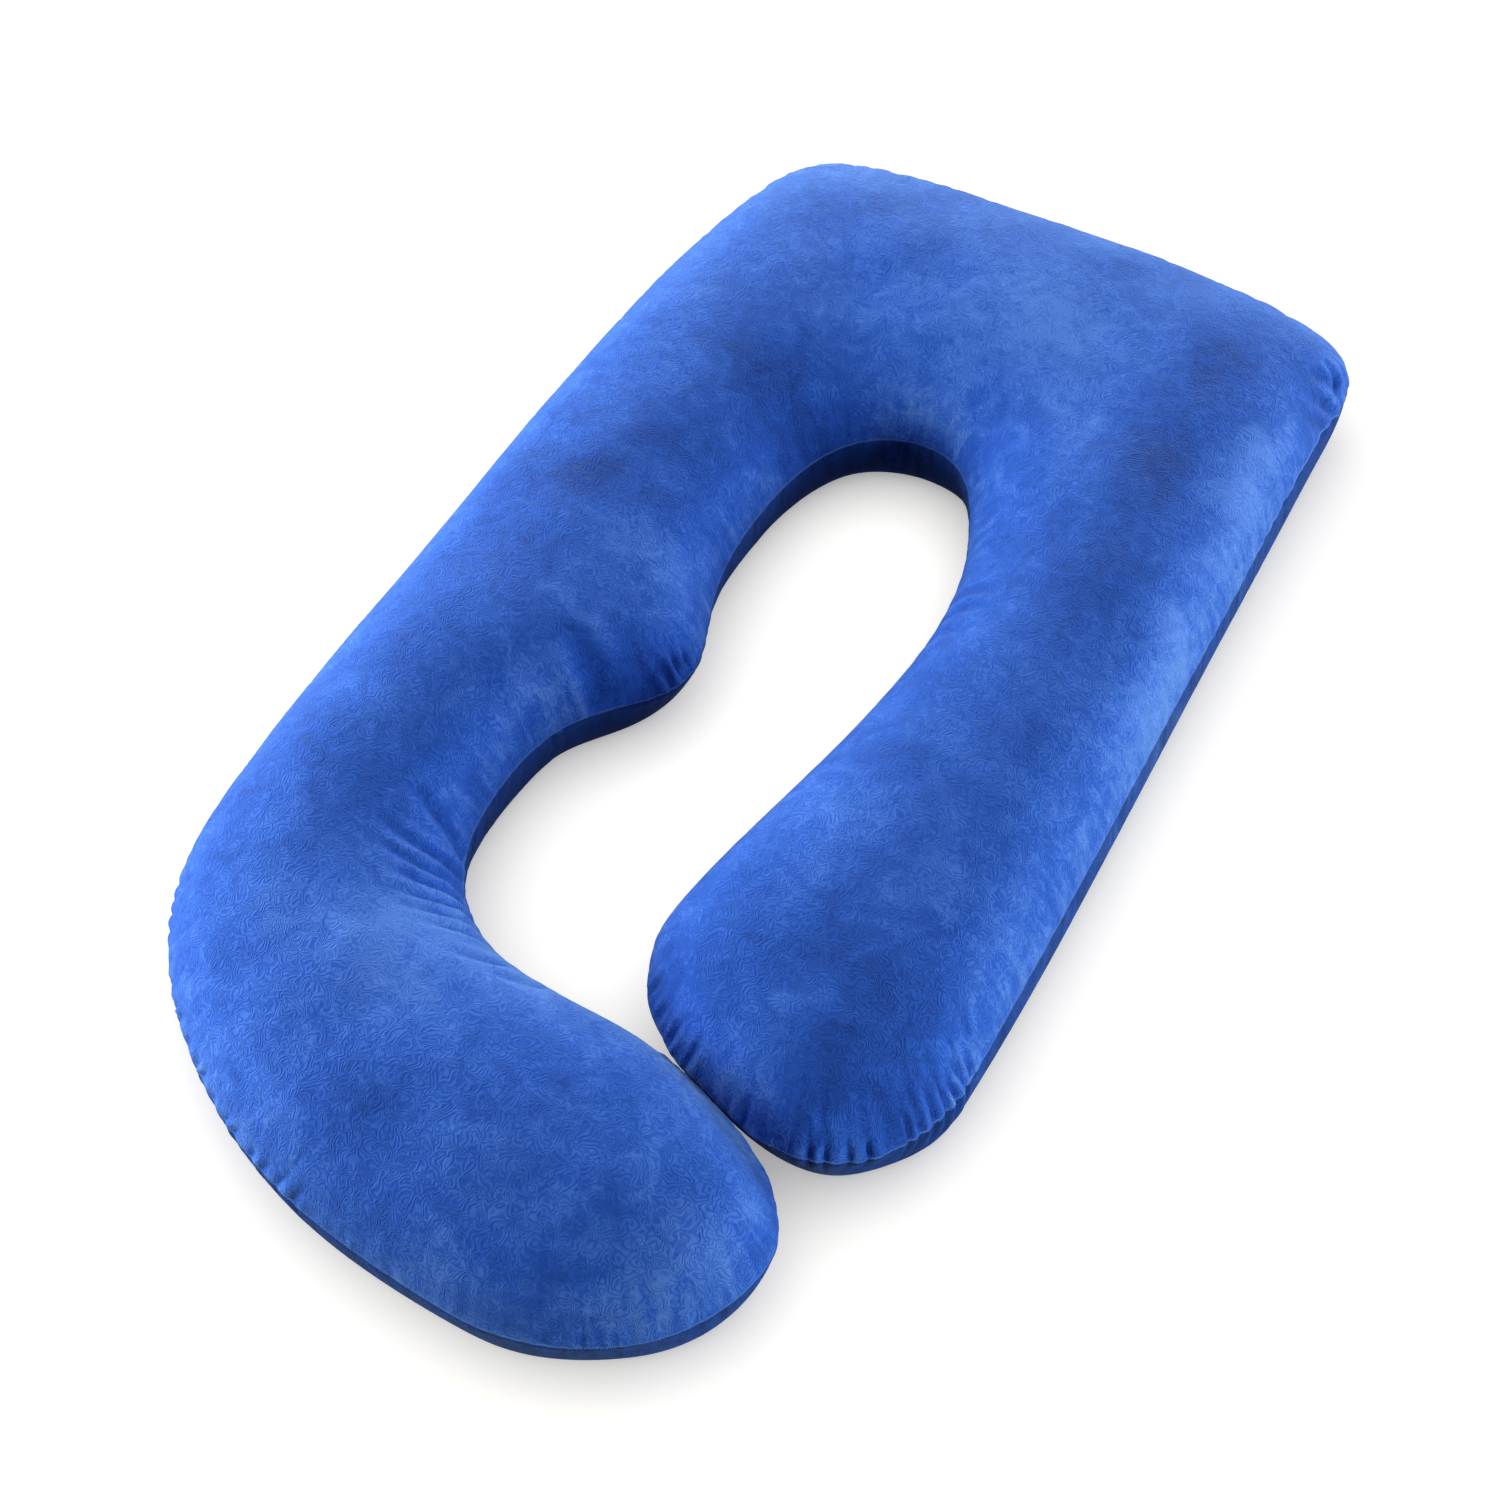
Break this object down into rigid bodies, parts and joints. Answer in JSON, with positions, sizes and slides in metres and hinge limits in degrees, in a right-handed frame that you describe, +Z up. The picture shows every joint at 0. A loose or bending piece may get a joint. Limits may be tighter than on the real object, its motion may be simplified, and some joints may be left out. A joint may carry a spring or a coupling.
{
  "type": "body pillow",
  "caption": "U-shaped body pillow with one arm curled into a hook, filled plump and seamed round its edge, in plush velvet.",
  "frame": {"origin": "middle of the bounding box at the plane that the pillow rests on", "axes": "+Z up, +Y along the pillow towards its head end, +X towards the straight arm"},
  "size_m": [0.7666, 1.437, 0.1799],
  "materials": {
    "velvet": "short-pile blue velvet, mottled where the pile lies different ways, with a soft sheen at grazing angles"
  },
  "bodies": {
    "root": {"pillow": "velvet"}
  },
  "joints": []
}
